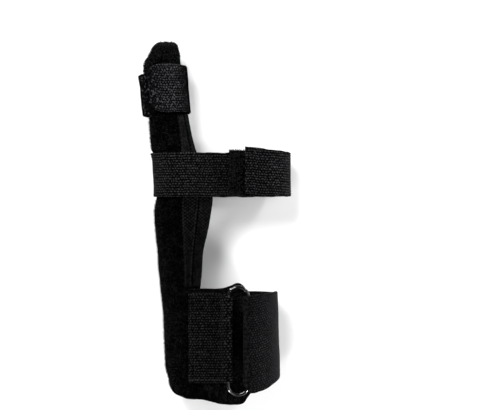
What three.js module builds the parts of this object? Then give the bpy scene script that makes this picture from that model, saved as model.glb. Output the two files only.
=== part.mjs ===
// Little-finger splint, closed as it is worn on a right hand and laid on its back.
// Millimetres. +X runs to the thumb side, +Y to the fingertip, +Z out of the palm; z = 0 is the table.
// The soft pieces are walls: each is a curve across the splint (an x-z section) swept along y.

import * as THREE from "three";

// Driving dimensions
const GAP = 0.4; // clearance between pieces that touch
const BODY_WALL = 3.0; // foam laminate
const TAPE_WALL = 0.9; // woven tape sewn on the palm face
const FINGER_STRAP_WALL = 1.8;
const PALM_STRAP_WALL = 1.6;
const PATCH_WALL = 1.4;
const CUFF_WALL = 2.5;
const ELASTIC_WALL = 1.1;
const WRIST_STRAP_WALL = 1.8;

const RING_WIRE = 2.2; // wire diameter
const RING_X = 13.8;
const RING_Z = 45.1;
const RING_HALF_WIDTH = 6.0; // middle of the ring to the middle of a long bar
const RING_TOP = -38.6; // wire centre line at the upper end
const RING_BOTTOM = -102.6; // and at the lower end
const RING_CORNER = 5.9;

// The body's x-z section at several heights. ulnar: left face; bend: width of the fold round the edge of
// the hand; base, crown: back and palm faces; edge, droop: free edge of the palm flange, and how far it
// falls; back, rise: free edge of the back flange, and how far it rises.
const BODY_SECTIONS = [
  { y: -110, ulnar: -28.2, bend: 15, base: 0, crown: 42, edge: -9, droop: 0.5, back: -10, rise: 0 },
  { y: -97, ulnar: -28.6, bend: 15, base: 0, crown: 42, edge: -9, droop: 0.5, back: -10, rise: 0 },
  { y: -88, ulnar: -30.6, bend: 16, base: 0, crown: 42, edge: -9, droop: 0.5, back: -10, rise: 0 },
  { y: -70, ulnar: -31.2, bend: 16, base: 0, crown: 42, edge: -9, droop: 0.5, back: -10, rise: 0 },
  { y: -48, ulnar: -32.9, bend: 16, base: 0, crown: 41.7, edge: -9, droop: 0.6, back: -10, rise: 0 },
  { y: -39, ulnar: -33.8, bend: 16, base: 0, crown: 41, edge: -8.8, droop: 1, back: -10, rise: 0 },
  { y: -30, ulnar: -34.5, bend: 16, base: 0.3, crown: 39.6, edge: -8.1, droop: 1.8, back: -10.5, rise: 0 },
  { y: -18, ulnar: -35.5, bend: 16, base: 0.9, crown: 38, edge: -7.4, droop: 2.8, back: -11.5, rise: 0 },
  { y: -6, ulnar: -36.9, bend: 16, base: 1.4, crown: 36.5, edge: -4.6, droop: 3.4, back: -13, rise: 0 },
  { y: 6, ulnar: -37.5, bend: 16, base: 1.8, crown: 35.1, edge: -2.5, droop: 3.5, back: -14.5, rise: 0 },
  { y: 16, ulnar: -36.3, bend: 15, base: 2.1, crown: 34, edge: -1.6, droop: 3.5, back: -16, rise: 0 },
  { y: 30, ulnar: -36.8, bend: 14.6, base: 2.1, crown: 32.8, edge: -5.2, droop: 3.8, back: -18, rise: 0 },
  { y: 42, ulnar: -38.3, bend: 13.8, base: 2.2, crown: 30.9, edge: -11.4, droop: 5, back: -20.5, rise: 0.5 },
  { y: 44.5, ulnar: -39.9, bend: 13.8, base: 2.25, crown: 30.2, edge: -12.4, droop: 5.4, back: -20.9, rise: 0.6 },
  { y: 48, ulnar: -40.3, bend: 13.3, base: 2.3, crown: 29.4, edge: -13.6, droop: 6, back: -21.5, rise: 0.8 },
  { y: 54, ulnar: -40.6, bend: 12.3, base: 2.4, crown: 27.6, edge: -15.3, droop: 7, back: -22.5, rise: 1.2 },
  { y: 66, ulnar: -41.2, bend: 11.5, base: 2.6, crown: 25.4, edge: -17.6, droop: 8, back: -24, rise: 1.8 },
  { y: 80, ulnar: -42.4, bend: 11.3, base: 2.8, crown: 25, edge: -19.4, droop: 8, back: -25.6, rise: 2 },
  { y: 98, ulnar: -44.3, bend: 11, base: 3.2, crown: 25, edge: -21.2, droop: 7.6, back: -27.2, rise: 2 },
  { y: 104, ulnar: -41, bend: 10.2, base: 4.2, crown: 23.2, edge: -21.8, droop: 6, back: -27.2, rise: 2 },
  { y: 108.2, ulnar: -38.6, bend: 8.2, base: 5.8, crown: 20.6, edge: -23.2, droop: 3.5, back: -27, rise: 1.2 },
  { y: 111.2, ulnar: -35.2, bend: 4.9, base: 7.6, crown: 17, edge: -24, droop: 1, back: -26.8, rise: 0.3 },
];

// Ends of the body along its section: across runs from the palm edge (0) round to the back edge (1).
const BODY_ENDS = [
  { across: 0, low: -106.3, high: 109.8 },
  { across: 0.1, low: -106.2, high: 110.9 },
  { across: 0.22, low: -104.9, high: 111.2 },
  { across: 0.34, low: -103.3, high: 111.2 },
  { across: 0.45, low: -101.4, high: 111.2 },
  { across: 0.56, low: -100.4, high: 110.9 },
  { across: 0.8, low: -99, high: 107.6 },
  { across: 1, low: -98.4, high: 102 },
];

// The tape strip over the stay and the band beside it, on the palm face.
const TAPE_EDGES = [
  { y: -38.6, left: -18.6, right: -14.4 },
  { y: -30, left: -18.8, right: -14.2 },
  { y: -18, left: -19.2, right: -13.6 },
  { y: -6, left: -19.6, right: -12.2 },
  { y: 6, left: -20, right: -11 },
  { y: 16, left: -20.2, right: -10.4 },
  { y: 30, left: -20.6, right: -12.5 },
  { y: 43, left: -20.9, right: -15.6 },
  { y: 54, left: -22.4, right: -18.3 },
  { y: 66, left: -24.3, right: -20.6 },
];
const TAPE_LOW = -38.6;
const TAPE_HIGH = 66.0;
const BAND_SPACE = 0.6; // between the strip and the edge band
const BAND_INSET = 0.3; // the band stops short of the flange's edge

// The fingertip strap's two edges along its length, from the lower end on the palm side, round the
// ulnar side, the back and the thumb side, to the free end that laps over the start.
const FINGER_STRAP_EDGES = [
  { along: 0, low: 70, high: 88.8 },
  { along: 0.045, low: 66, high: 90.2 },
  { along: 0.22, low: 65.2, high: 90.6 },
  { along: 0.45, low: 65.4, high: 92.8 },
  { along: 0.7, low: 66.4, high: 96.2 },
  { along: 0.84, low: 67.2, high: 96.6 },
  { along: 0.93, low: 67.6, high: 96 },
  { along: 0.975, low: 69.6, high: 93.6 },
  { along: 1, low: 72.6, high: 90 },
];
// reach: inner face on the thumb side; loose: how far it stands off the ulnar side of the body.
const FINGER_STRAP_FIT = [
  { y: 64, reach: -16.8, loose: 1.8 },
  { y: 76, reach: -17.9, loose: 2.7 },
  { y: 97, reach: -19.6, loose: 1.7 },
];
const FINGER_STRAP_START = 105; // degrees round the fold, where the strap starts
const FINGER_STRAP_END = 123; // degrees, where the lapped end stops

// The palm strap: the loop's thumb-side bend, the lower end under the lap and the free end over it.
const PALM_LIFT = 2.0; // above the palm face of the body, over the tape strip
const PALM_REACH = 44.6; // inner face of the thumb-side bend
const PALM_BEND_X = 29.0;
const PALM_LOWER_END = { x: 30.0, z: 30.0 };
const PALM_FREE_END = 17.9;
const PALM_STRAP_EDGES = [
  { along: 0, low: 15.9, high: 42.7 },
  { along: 0.3, low: 15.5, high: 42.5 },
  { along: 0.66, low: 15.5, high: 42.5 },
  { along: 0.76, low: 15.5, high: 42.5 },
  { along: 0.84, low: 15.7, high: 42.6 },
  { along: 0.9, low: 16.2, high: 43.7 },
  { along: 0.95, low: 16.8, high: 44.9 },
  { along: 1, low: 17.4, high: 46.2 },
];
const PATCH = { left: 8.2, right: 29.4, low: 15.9, high: 43.9 };

// The wrist cuff's tongue: a shallow arch across the palm side of the wrist, gathered at its lower edge.
const CUFF = { left: -8.6, right: 24.0, crownX: 2.0, crown: 42.0, fall: 0.008 };
const CUFF_ENDS = [
  { x: -8.6, low: -106.3, high: -40 },
  { x: -2, low: -107.8, high: -39.5 },
  { x: 5, low: -109, high: -39.2 },
  { x: 9, low: -109.5, high: -37.8 },
  { x: 12.5, low: -109.4, high: -36.2 },
  { x: 15.5, low: -109, high: -36.9 },
  { x: 17.5, low: -108.2, high: -38.6 },
  { x: 19.2, low: -105.6, high: -40.6 },
  { x: 21, low: -102.4, high: -42 },
  { x: 24, low: -100, high: -43 },
];
const GATHERS = { from: -8.6, to: 6.0, count: 3, depth: 0.7, below: -97.5 };

// The elastic tab: its seam, the upper face of its lower layer, and how fast the upper layer settles on it.
const ELASTIC = { seam: -16.0, face: 43.5, drop: 2.6 };
const ELASTIC_EDGES = [
  { along: 0, low: -95.8, high: -39.4 },
  { along: 0.36, low: -95.8, high: -39.4 },
  { along: 0.45, low: -95.4, high: -43.8 },
  { along: 0.55, low: -95.4, high: -43.8 },
  { along: 0.64, low: -95.8, high: -39.4 },
  { along: 1, low: -95.8, high: -39.4 },
];

// The wrist strap: flat start sewn to the back flange, thumb-side bend, turn round the ring, way back.
const STRAP_START = -9.4;
const STRAP_STEP = { from: -1.0, to: 8.0 }; // where the first layer climbs over the strap's own end
const STRAP_END = 8.8;
const STRAP_BEND_X = 20.5;
// Outer face of the strap's first layer on the thumb side.
const STRAP_REACH = [
  { y: -105, reach: 37.5 },
  { y: -93, reach: 37.2 },
  { y: -41, reach: 35.6 },
];
const STRAP_EDGES = [
  { along: 0, low: -97.4, high: -43.4 },
  { along: 0.17, low: -97, high: -43.4 },
  { along: 0.35, low: -94.6, high: -43.2 },
  { along: 0.45, low: -94.6, high: -43.2 },
  { along: 0.49, low: -95.6, high: -43.4 },
  { along: 0.53, low: -97, high: -43.8 },
  { along: 0.55, low: -97.3, high: -43.8 },
  { along: 0.5625, low: -97.8, high: -43.5 },
  { along: 0.575, low: -101.9, high: -43 },
  { along: 0.598, low: -100.8, high: -42.6 },
  { along: 0.6255, low: -99.5, high: -42.3 },
  { along: 0.646, low: -98, high: -42.2 },
  { along: 0.672, low: -96.6, high: -42 },
  { along: 0.724, low: -94.9, high: -41.9 },
  { along: 0.766, low: -94.4, high: -42.4 },
  { along: 0.8, low: -94.8, high: -43 },
  { along: 0.93, low: -96, high: -43.2 },
  { along: 1, low: -95, high: -43.6 },
];

// Facets
const BODY_COLUMNS = 28;
const BODY_ROWS = 28; // up to the fingertip
const BODY_TIP_ROWS = 6; // closer together where the fingertip closes
const BODY_TIP_FROM = 0.94; // share of the body's length
const STRAP_COLUMNS = 56;
const STRAP_ROWS = 4;
const WRIST_STRAP_COLUMNS = 80;
const WRIST_STRAP_ROWS = 4;
const TAPE_COLUMNS = 4;
const TAPE_ROWS = 26;
const CUFF_COLUMNS = 24;
const CUFF_ROWS = 12;
const ELASTIC_COLUMNS = 36;
const ELASTIC_ROWS = 3;
const RING_SIDES = 10;
const RING_CORNER_STEPS = 5;

const { lerp, degToRad } = THREE.MathUtils;

// A table read smoothly: returns a function from the table's key column to all its other columns.
function smoothTable(rows, key) {
  const names = Object.keys(rows[0]).filter((name) => name !== key);
  const keys = rows.map((row) => row[key]);
  const values = rows.flatMap((row) => names.map((name) => row[name]));
  const spline = new THREE.CubicInterpolant(keys, values, names.length, new Float64Array(names.length));
  const first = keys[0];
  const last = keys[keys.length - 1];
  return (at) => {
    const found = spline.evaluate(THREE.MathUtils.clamp(at, first, last));
    return Object.fromEntries(names.map((name, column) => [name, found[column]]));
  };
}

const bodySize = smoothTable(BODY_SECTIONS, "y");
const bodyEnds = smoothTable(BODY_ENDS, "across");
const tapeEdges = smoothTable(TAPE_EDGES, "y");
const fingerStrapEdges = smoothTable(FINGER_STRAP_EDGES, "along");
const fingerStrapFit = smoothTable(FINGER_STRAP_FIT, "y");
const palmStrapEdges = smoothTable(PALM_STRAP_EDGES, "along");
const cuffEnds = smoothTable(CUFF_ENDS, "x");
const elasticEdges = smoothTable(ELASTIC_EDGES, "along");
const strapReach = smoothTable(STRAP_REACH, "y");
const strapEdges = smoothTable(STRAP_EDGES, "along");

// Keeps the curves that were made for each height.
function remembered(makeCurve) {
  const made = new Map();
  return (y) => {
    if (!made.has(y)) made.set(y, makeCurve(y));
    return made.get(y);
  };
}

// A closed wall. curveAt(y) is its section's curve, seen with x to the right and z up. The wall lies on the
// curve's right-hand side, or on its left with side -1. ends(f) gives the low and high y at fraction f, and
// rowShare(row) the share of that height where a row of points lies.
function wall({ curveAt, ends, thickness, side = 1, columns, rows, rowShare = (row) => row / rows }) {
  const outer = [];
  const inner = [];
  for (let row = 0; row <= rows; row++) {
    for (let column = 0; column <= columns; column++) {
      const f = column / columns;
      const { low, high } = ends(f);
      const y = lerp(low, high, rowShare(row));
      const curve = curveAt(y);
      const point = curve.getPoint(f);
      const step = 0.25 / columns;
      const ahead = curve.getPoint(Math.min(1, f + step));
      const behind = curve.getPoint(Math.max(0, f - step));
      const along = ahead.sub(behind).normalize();
      const lifted = new THREE.Vector2(along.y, -along.x).multiplyScalar(side * thickness).add(point);
      const [right, left] = side > 0 ? [lifted, point] : [point, lifted];
      outer.push(new THREE.Vector3(right.x, y, right.y));
      inner.push(new THREE.Vector3(left.x, y, left.y));
    }
  }
  return wallGeometry(outer, inner, columns + 1, rows + 1);
}

// Joins two matching grids of points into one closed surface: outer face, inner face and rim.
function wallGeometry(outer, inner, columns, rows) {
  const index = [];
  const quad = (a, b, c, d) => index.push(a, b, c, a, c, d);
  const out = (row, column) => row * columns + column;
  const back = (row, column) => outer.length + out(row, column);
  for (let row = 0; row < rows - 1; row++) {
    for (let column = 0; column < columns - 1; column++) {
      quad(out(row, column), out(row + 1, column), out(row + 1, column + 1), out(row, column + 1));
      quad(back(row, column), back(row, column + 1), back(row + 1, column + 1), back(row + 1, column));
    }
  }
  for (let column = 0; column < columns - 1; column++) {
    const top = rows - 1;
    quad(out(0, column), out(0, column + 1), back(0, column + 1), back(0, column));
    quad(out(top, column), back(top, column), back(top, column + 1), out(top, column + 1));
  }
  for (let row = 0; row < rows - 1; row++) {
    const end = columns - 1;
    quad(out(row, 0), back(row, 0), back(row + 1, 0), out(row + 1, 0));
    quad(out(row, end), out(row + 1, end), back(row + 1, end), back(row, end));
  }
  const geometry = new THREE.BufferGeometry().setFromPoints([...outer, ...inner]);
  geometry.setIndex(index);
  geometry.computeVertexNormals();
  return geometry;
}

// A curve given by a formula from the fraction along it to a point.
function formulaCurve(pointAt) {
  return { getPoint: pointAt };
}

// The body's section: palm flange, fold round the edge of the hand, back flange.
const bodySection = remembered((y) => {
  const s = bodySize(y);
  const base = Math.max(0, s.base);
  const bendX = s.ulnar + s.bend;
  const path = new THREE.Path();
  path.moveTo(s.edge, s.crown - s.droop);
  path.quadraticCurveTo(lerp(bendX, s.edge, 0.5), s.crown, bendX, s.crown);
  const half = (s.crown - base) / 2;
  path.absellipse(bendX, base + half, s.bend, half, Math.PI / 2, 1.5 * Math.PI, false);
  path.quadraticCurveTo(lerp(bendX, s.back, 0.5), base, s.back, base + s.rise);
  return path;
});

function gutterBody() {
  const rowShare = (row) =>
    row <= BODY_ROWS
      ? (BODY_TIP_FROM * row) / BODY_ROWS
      : lerp(BODY_TIP_FROM, 1, (row - BODY_ROWS) / BODY_TIP_ROWS);
  return wall({
    curveAt: bodySection,
    ends: bodyEnds,
    thickness: BODY_WALL,
    side: -1,
    columns: BODY_COLUMNS,
    rows: BODY_ROWS + BODY_TIP_ROWS,
    rowShare,
  });
}

// The point over the body's palm face at x, lifted off it.
const PALM_FACE_STEPS = 160;
const palmFace = remembered((y) => bodySection(y).getSpacedPoints(PALM_FACE_STEPS));

function overPalmFace(y, x, lift) {
  const points = palmFace(y);
  const next = Math.max(1, points.findIndex((point) => point.x <= x));
  const [before, after] = [points[next - 1], points[next]];
  const share = (x - before.x) / (after.x - before.x);
  const along = after.clone().sub(before).normalize();
  return before.clone().lerp(after, share).add(new THREE.Vector2(along.y, -along.x).multiplyScalar(lift));
}

// A flat tape on the palm face between two edges given by the height.
function palmTape(leftAt, rightAt) {
  return wall({
    curveAt: (y) => formulaCurve((f) => overPalmFace(y, lerp(rightAt(y), leftAt(y), f), GAP)),
    ends: () => ({ low: TAPE_LOW, high: TAPE_HIGH }),
    thickness: TAPE_WALL,
    columns: TAPE_COLUMNS,
    rows: TAPE_ROWS,
  });
}

const stayPocket = () =>
  palmTape(
    (y) => tapeEdges(y).left,
    (y) => tapeEdges(y).right,
  );

const palmEdgeBand = () =>
  palmTape(
    (y) => tapeEdges(y).right + BAND_SPACE,
    (y) => bodySize(y).edge - BAND_INSET,
  );

// The fingertip strap winds once and a bit round the body; its free end laps over its start.
const fingerStrapSection = remembered((y) => {
  const s = bodySize(y);
  const bendX = s.ulnar + s.bend;
  const low = s.base - GAP;
  const high = s.crown + GAP;
  const lapped = high + FINGER_STRAP_WALL + GAP;
  const firstHalf = (high - low) / 2;
  const lappedHalf = (lapped - low) / 2;
  const fit = fingerStrapFit(y);
  const firstWidth = s.bend + fit.loose;
  const lappedWidth = firstWidth + FINGER_STRAP_WALL + GAP;
  const rightWidth = fit.reach - bendX;
  const start = degToRad(FINGER_STRAP_START);
  const end = degToRad(FINGER_STRAP_END);
  const path = new THREE.Path();
  path.absellipse(bendX, low + firstHalf, firstWidth, firstHalf, start, 1.5 * Math.PI, false);
  path.absellipse(bendX, low + lappedHalf, rightWidth, lappedHalf, 1.5 * Math.PI, 2.5 * Math.PI, false);
  path.absellipse(bendX, low + lappedHalf, lappedWidth, lappedHalf, Math.PI / 2, end, false);
  return path;
});

function fingertipStrap() {
  return wall({
    curveAt: fingerStrapSection,
    ends: fingerStrapEdges,
    thickness: FINGER_STRAP_WALL,
    columns: STRAP_COLUMNS,
    rows: STRAP_ROWS,
  });
}

// Height of the palm strap's lower layer, inner face, at x.
function palmLayer(y, x) {
  const s = bodySize(y);
  const bendX = s.ulnar + s.bend;
  const share = (x - bendX) / (PALM_LOWER_END.x - bendX);
  return lerp(s.crown + PALM_LIFT, PALM_LOWER_END.z, share);
}

// Free end over the lower layer, inner face to inner face.
const PALM_LAP = PALM_STRAP_WALL + PATCH_WALL + 2 * GAP;

const palmStrapSection = remembered((y) => {
  const s = bodySize(y);
  const bendX = s.ulnar + s.bend;
  const top = s.crown + PALM_LIFT;
  const lapped = palmLayer(y, PALM_BEND_X) + PALM_LAP;
  const foldHalf = (top - PALM_STRAP_WALL) / 2;
  const bendHalf = (lapped - PALM_STRAP_WALL) / 2;
  const path = new THREE.Path();
  path.moveTo(PALM_LOWER_END.x, PALM_LOWER_END.z);
  path.lineTo(bendX, top);
  const quarter = Math.PI / 2;
  path.absellipse(bendX, top - foldHalf, s.bend + GAP, foldHalf, quarter, 3 * quarter, false);
  path.lineTo(PALM_BEND_X, PALM_STRAP_WALL);
  const reach = PALM_REACH - PALM_BEND_X;
  path.absellipse(PALM_BEND_X, lapped - bendHalf, reach, bendHalf, -quarter, quarter, false);
  path.lineTo(PALM_FREE_END, palmLayer(y, PALM_FREE_END) + PALM_LAP);
  return path;
});

function palmStrap() {
  return wall({
    curveAt: palmStrapSection,
    ends: palmStrapEdges,
    thickness: PALM_STRAP_WALL,
    columns: STRAP_COLUMNS,
    rows: STRAP_ROWS,
  });
}

function palmLoopPatch() {
  const lift = PALM_STRAP_WALL + GAP;
  const pointAt = (y, f) => {
    const x = lerp(PATCH.right, PATCH.left, f);
    return new THREE.Vector2(x, palmLayer(y, x) + lift);
  };
  return wall({
    curveAt: (y) => formulaCurve((f) => pointAt(y, f)),
    ends: () => ({ low: PATCH.low, high: PATCH.high }),
    thickness: PATCH_WALL,
    columns: TAPE_COLUMNS,
    rows: STRAP_ROWS,
  });
}

// Outer face of the wrist cuff's tongue at x, with its gathers near the lower edge.
function cuffFace(y, x) {
  const arch = CUFF.crown - CUFF.fall * (x - CUFF.crownX) ** 2;
  const share = THREE.MathUtils.clamp((x - GATHERS.from) / (GATHERS.to - GATHERS.from), 0, 1);
  const fade = THREE.MathUtils.smoothstep(GATHERS.below - y, 0, 6);
  const folds = Math.sin(Math.PI * share) * Math.sin(2 * Math.PI * GATHERS.count * share) ** 2;
  return arch - GATHERS.depth * fade * folds;
}

function wristCuff() {
  const xAt = (f) => lerp(CUFF.right, CUFF.left, f);
  return wall({
    curveAt: (y) => formulaCurve((f) => new THREE.Vector2(xAt(f), cuffFace(y, xAt(f)))),
    ends: (f) => cuffEnds(xAt(f)),
    thickness: CUFF_WALL,
    side: -1,
    columns: CUFF_COLUMNS,
    rows: CUFF_ROWS,
  });
}

const RING_CLEAR = RING_WIRE / 2 + GAP; // from the middle of a bar to the strap round it

// The elastic tab runs from its seam to the ring's inner bar, round it and back over itself.
function wristElastic() {
  const barX = RING_X - RING_HALF_WIDTH;
  const path = new THREE.Path();
  path.moveTo(ELASTIC.seam, ELASTIC.face);
  path.lineTo(barX, RING_Z - RING_CLEAR);
  path.absarc(barX, RING_Z, RING_CLEAR, -Math.PI / 2, Math.PI / 2, false);
  const closed = ELASTIC.face + GAP;
  const settled = barX - 2 * ELASTIC.drop;
  const over = RING_Z + RING_CLEAR;
  path.bezierCurveTo(barX - ELASTIC.drop, over, settled + ELASTIC.drop, closed, settled, closed);
  path.lineTo(ELASTIC.seam, closed);
  return wall({
    curveAt: () => path,
    ends: elasticEdges,
    thickness: ELASTIC_WALL,
    columns: ELASTIC_COLUMNS,
    rows: ELASTIC_ROWS,
  });
}

// The oblong ring: round wire along a rectangle with rounded corners.
function wristRing() {
  const line = new THREE.Path();
  const left = -RING_HALF_WIDTH + RING_CORNER;
  const right = RING_HALF_WIDTH - RING_CORNER;
  const low = RING_BOTTOM + RING_CORNER;
  const high = RING_TOP - RING_CORNER;
  const quarter = Math.PI / 2;
  line.absarc(right, high, RING_CORNER, 0, quarter, false);
  line.absarc(left, high, RING_CORNER, quarter, 2 * quarter, false);
  line.absarc(left, low, RING_CORNER, 2 * quarter, 3 * quarter, false);
  line.absarc(right, low, RING_CORNER, 3 * quarter, 4 * quarter, false);
  const middle = line.getPoints(RING_CORNER_STEPS);
  const count = middle.length;
  const points = [];
  const index = [];
  middle.forEach((point, i) => {
    const ahead = middle[(i + 1) % count];
    const behind = middle[(i + count - 1) % count];
    const along = ahead.clone().sub(behind).normalize();
    for (let side = 0; side < RING_SIDES; side++) {
      const turn = (2 * Math.PI * side) / RING_SIDES;
      const away = (Math.cos(turn) * RING_WIRE) / 2;
      const z = (Math.sin(turn) * RING_WIRE) / 2;
      points.push(new THREE.Vector3(point.x + along.y * away, point.y - along.x * away, z));
      const [a, b] = [i * RING_SIDES, ((i + 1) % count) * RING_SIDES];
      const after = (side + 1) % RING_SIDES;
      index.push(a + side, b + side, b + after, a + side, b + after, a + after);
    }
  });
  const geometry = new THREE.BufferGeometry().setFromPoints(points);
  geometry.setIndex(index);
  geometry.computeVertexNormals();
  return geometry;
}

// The wrist strap's face towards the ring: along the back, up the thumb side, round the bar, back outside.
const wristStrapSection = remembered((y) => {
  const barX = RING_X + RING_HALF_WIDTH;
  const under = RING_Z - RING_CLEAR;
  const over = RING_Z + RING_CLEAR;
  const stepUp = WRIST_STRAP_WALL + GAP;
  const half = (under - stepUp) / 2;
  const middle = stepUp + half;
  const reach = strapReach(y).reach - STRAP_BEND_X;
  const quarter = Math.PI / 2;
  const stepMiddle = lerp(STRAP_STEP.from, STRAP_STEP.to, 0.5);
  const path = new THREE.Path();
  path.moveTo(STRAP_START, 0);
  path.lineTo(STRAP_STEP.from, 0);
  path.bezierCurveTo(stepMiddle, 0, stepMiddle, stepUp, STRAP_STEP.to, stepUp);
  path.lineTo(STRAP_BEND_X, stepUp);
  path.absellipse(STRAP_BEND_X, middle, reach, half, -quarter, quarter, false);
  path.lineTo(barX, under);
  path.absarc(barX, RING_Z, RING_CLEAR, -quarter, quarter, true);
  path.absellipse(barX, middle, reach + STRAP_BEND_X + GAP - barX, over - middle, quarter, 0, true);
  const wayBack = middle - WRIST_STRAP_WALL;
  path.absellipse(barX, middle, reach + STRAP_BEND_X + GAP - barX, wayBack, 0, -quarter, true);
  path.lineTo(STRAP_END, WRIST_STRAP_WALL);
  return path;
});

function wristStrap() {
  return wall({
    curveAt: wristStrapSection,
    ends: strapEdges,
    thickness: WRIST_STRAP_WALL,
    side: -1,
    columns: WRIST_STRAP_COLUMNS,
    rows: WRIST_STRAP_ROWS,
  });
}

// Colours and finishes
const finish = (color, roughness, metalness = 0) =>
  new THREE.MeshStandardMaterial({ color, roughness, metalness });
const BRUSHED_LOOP = finish(0x0c0c0d, 1.0);
const WOVEN_TAPE = finish(0x161617, 0.85);
const RIBBED_ELASTIC = finish(0x1c1c1e, 0.8);
const NYLON_FACE = finish(0x26262a, 0.7);
const DARK_NICKEL = finish(0x515153, 0.2, 1.0);

const PIECES = [
  { name: "gutter_body", make: gutterBody, material: BRUSHED_LOOP },
  { name: "stay_pocket", make: stayPocket, material: WOVEN_TAPE },
  { name: "palm_edge_band", make: palmEdgeBand, material: WOVEN_TAPE },
  { name: "fingertip_strap", make: fingertipStrap, material: NYLON_FACE },
  { name: "palm_strap", make: palmStrap, material: RIBBED_ELASTIC },
  { name: "palm_loop_patch", make: palmLoopPatch, material: BRUSHED_LOOP },
  { name: "wrist_cuff", make: wristCuff, material: BRUSHED_LOOP },
  { name: "wrist_elastic", make: wristElastic, material: RIBBED_ELASTIC },
  { name: "wrist_ring", make: wristRing, material: DARK_NICKEL, position: [RING_X, 0, RING_Z] },
  { name: "wrist_strap", make: wristStrap, material: NYLON_FACE },
];

const splint = new THREE.Group();
for (const { name, make, material, position = [0, 0, 0] } of PIECES) {
  const mesh = new THREE.Mesh(make(), material);
  mesh.name = name;
  mesh.position.set(...position);
  splint.add(mesh);
}

// The origin is at the middle of the footprint, on the table.
const box = new THREE.Box3().setFromObject(splint);
const middle = box.getCenter(new THREE.Vector3());
splint.position.set(-middle.x, -middle.y, -box.min.z);

export default splint;
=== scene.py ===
"""Finger splint: cloth, webbing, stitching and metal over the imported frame, with floor, light and camera."""

import math

import bpy
import numpy as np
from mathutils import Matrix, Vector


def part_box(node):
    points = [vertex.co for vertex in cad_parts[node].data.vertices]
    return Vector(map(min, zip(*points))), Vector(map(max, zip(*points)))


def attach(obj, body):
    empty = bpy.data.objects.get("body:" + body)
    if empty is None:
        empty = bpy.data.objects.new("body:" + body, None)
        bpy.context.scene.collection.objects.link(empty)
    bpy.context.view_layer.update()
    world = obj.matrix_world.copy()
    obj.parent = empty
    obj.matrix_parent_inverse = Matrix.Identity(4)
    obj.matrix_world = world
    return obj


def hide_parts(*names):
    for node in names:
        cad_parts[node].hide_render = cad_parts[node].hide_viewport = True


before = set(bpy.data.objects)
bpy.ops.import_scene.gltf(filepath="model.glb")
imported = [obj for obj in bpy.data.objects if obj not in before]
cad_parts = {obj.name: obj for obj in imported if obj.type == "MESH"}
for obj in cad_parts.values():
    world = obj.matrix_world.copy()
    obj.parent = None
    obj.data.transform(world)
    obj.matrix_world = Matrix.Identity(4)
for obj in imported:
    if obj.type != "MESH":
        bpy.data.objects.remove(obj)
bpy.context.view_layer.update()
MM = 0.001

# Sizes in millimetres, as in the part's source. The edges of the fingertip strap, the cuff, the wrist elastic
# and the wrist strap are trimmed here a little closer to the photograph.
GAP = 0.4
BODY_WALL = 3.0
TAPE_WALL = 0.9
FINGER_STRAP_WALL = 1.8
PALM_STRAP_WALL = 1.6
PATCH_WALL = 1.4
CUFF_WALL = 2.5
ELASTIC_WALL = 1.1
WRIST_STRAP_WALL = 1.8
RING_WIRE, RING_X, RING_Z, RING_HALF_WIDTH = 2.2, 13.8, 45.1, 6.0
RING_TOP, RING_BOTTOM, RING_CORNER = -38.6, -102.6, 5.9
RING_CLEAR = RING_WIRE / 2 + GAP

# The source's sizes are measured from another point than the frame's origin: the ring tells by how much.
ring_low, ring_high = (np.array(corner, float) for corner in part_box("wrist_ring"))
RING_AT = np.array([RING_X, (RING_TOP + RING_BOTTOM) / 2, RING_Z])
SHIFT = (ring_low + ring_high) / 2 / MM - RING_AT


def table(names, rows):
    """A table read smoothly by its first column; returns a function to a dictionary of the other columns."""
    names = names.split()
    keys = np.array([row[0] for row in rows], float)
    values = np.array([row[1:] for row in rows], float)
    last = len(keys) - 1

    def read(at):
        at = np.clip(np.asarray(at, float), keys[0], keys[-1])
        i1 = np.clip(np.searchsorted(keys, at, side="right"), 1, last)
        i0 = i1 - 1
        before = np.where(i0 > 0, i0 - 1, i1)
        after = np.where(i1 < last, i1 + 1, i0)
        t0, t1 = keys[i0], keys[i1]
        half = (t1 - t0) / 2
        wp = half / (t0 - keys[before])
        wn = half / (keys[after] - t1)
        p = (at - t0) / (t1 - t0)
        p2, p3 = p * p, p * p * p
        weights = (
            (-wp * p3 + 2 * wp * p2 - wp * p, before),
            ((1 + wp) * p3 + (-1.5 - 2 * wp) * p2 + (-0.5 + wp) * p + 1, i0),
            ((-1 - wn) * p3 + (1.5 + wn) * p2 + 0.5 * p, i1),
            (wn * p3 - wn * p2, after),
        )
        found = sum(w[..., None] * values[i] for w, i in weights)
        return {name: found[..., k] for k, name in enumerate(names[1:])}

    return read


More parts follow.
